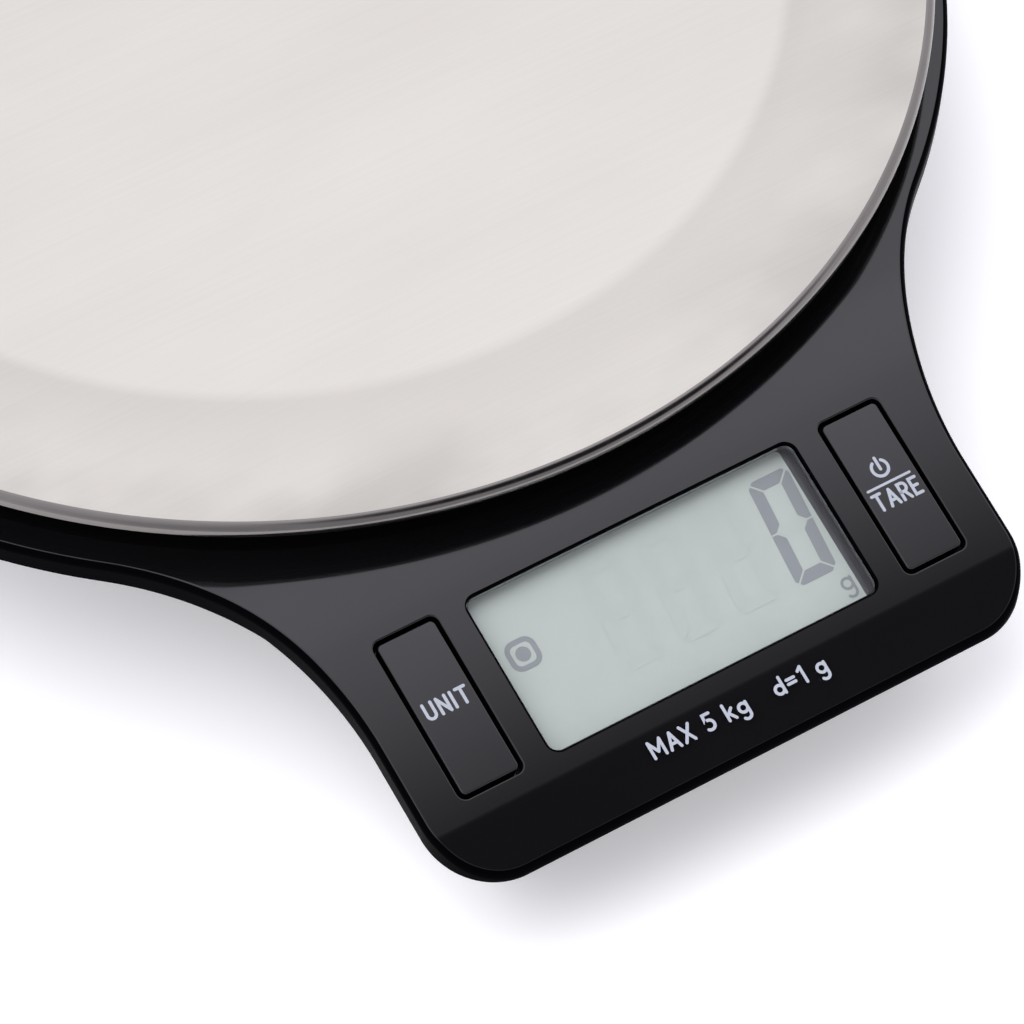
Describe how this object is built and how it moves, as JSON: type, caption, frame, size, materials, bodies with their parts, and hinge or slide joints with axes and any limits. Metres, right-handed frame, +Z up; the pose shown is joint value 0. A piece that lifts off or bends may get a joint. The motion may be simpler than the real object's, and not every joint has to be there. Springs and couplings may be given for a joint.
{
  "type": "kitchen scale",
  "caption": "Flat electronic kitchen scale with a round brushed-steel platter on a gloss black body, and a sloping front panel with a display window and keys.",
  "frame": {"origin": "on the table, below the middle of the scale's length and width", "axes": "+Z up, -Y to the front where the display and the keys are, +X to the right seen from the front"},
  "size_m": [0.165, 0.196, 0.0324],
  "materials": {
    "platter_steel": "straight fine brush, satin",
    "black_gloss": "polished mould",
    "black_satin": "fine spark texture",
    "zinc_screws": "zinc plated",
    "zinc_sheet": "zinc plated sheet",
    "cell_aluminium": "milled",
    "white_sealant": "matt silicone",
    "red_insulation": "smooth wire insulation",
    "black_insulation": "smooth wire insulation",
    "foot_rubber": "matt",
    "clear_lens": "clear moulded acrylic",
    "display_glass": "polished",
    "display_film": "satin film",
    "display_back": "silvered film",
    "contact_rubber": "matt",
    "board_green": "solder mask",
    "chip_resin": "cured resin",
    "board_parts": "surface-mount parts",
    "switch_black": "moulded",
    "switch_button": "moulded",
    "cell_jacket": "plain sleeve",
    "contact_steel": "nickel plated"
  },
  "bodies": {
    "body": {"load_cell": "cell_aluminium", "gauge_seals": "white_sealant", "gauge_wires": "red_insulation", "base_spacer": "zinc_sheet", "base_screws": "zinc_screws", "overload_stop": "zinc_screws", "upper_housing": "black_gloss", "lower_housing": "black_satin", "housing_screws": "zinc_screws", "rubber_feet": "foot_rubber", "window_lens": "clear_lens", "lens_tape": "black_satin", "lcd_glass": "display_glass", "lcd_polariser": "display_film", "lcd_reflector": "display_back", "lcd_frame": "black_satin", "zebra_strips": "contact_rubber", "main_board": "board_green", "chip_cover": "chip_resin", "board_parts": "board_parts", "board_screws": "zinc_screws", "switch_bodies": "switch_black", "battery_cells": "cell_jacket", "battery_springs": "contact_steel", "battery_plates": "contact_steel", "battery_wires": "black_insulation"},
    "platter": {"platter_plate": "platter_steel", "platter_tray": "black_satin", "tray_screws": "zinc_screws", "load_spider": "zinc_sheet", "spider_spacer": "zinc_sheet", "spider_screws": "zinc_screws"},
    "unit_key": {"unit_key": "black_gloss"},
    "tare_key": {"tare_key": "black_gloss"},
    "unit_plunger": {"unit_plunger": "switch_button"},
    "tare_plunger": {"tare_plunger": "switch_button"},
    "battery_door": {"battery_door": "black_satin"}
  },
  "joints": [
    {"name": "platter_load", "type": "slide", "parent": "body", "child": "platter", "axis": [0, 0, -1], "range_m": [0, 0.0006], "stiffness_N_per_m": 80000, "deforming": ["load_cell"]},
    {"name": "unit_key_press", "type": "slide", "parent": "body", "child": "unit_key", "axis": [0, 0.2368, -0.9715], "range_m": [0, 0.0005], "stiffness_N_per_m": 5000},
    {"name": "tare_key_press", "type": "slide", "parent": "body", "child": "tare_key", "axis": [0, 0.2368, -0.9715], "range_m": [0, 0.0005], "stiffness_N_per_m": 5000},
    {"name": "unit_plunger_press", "type": "slide", "parent": "body", "child": "unit_plunger", "axis": [0, 0.2368, -0.9715], "range_m": [0, 0.0005]},
    {"name": "tare_plunger_press", "type": "slide", "parent": "body", "child": "tare_plunger", "axis": [0, 0.2368, -0.9715], "range_m": [0, 0.0005]},
    {"name": "battery_door_open", "type": "hinge", "parent": "body", "child": "battery_door", "pos_m": [0, -0.03905, 0.00305], "axis": [-1, 0, 0], "range_deg": [0, 70]}
  ],
  "couplings": [
    {"joint": "unit_plunger_press", "follows": "unit_key_press", "ratio": 1},
    {"joint": "tare_plunger_press", "follows": "tare_key_press", "ratio": 1}
  ]
}
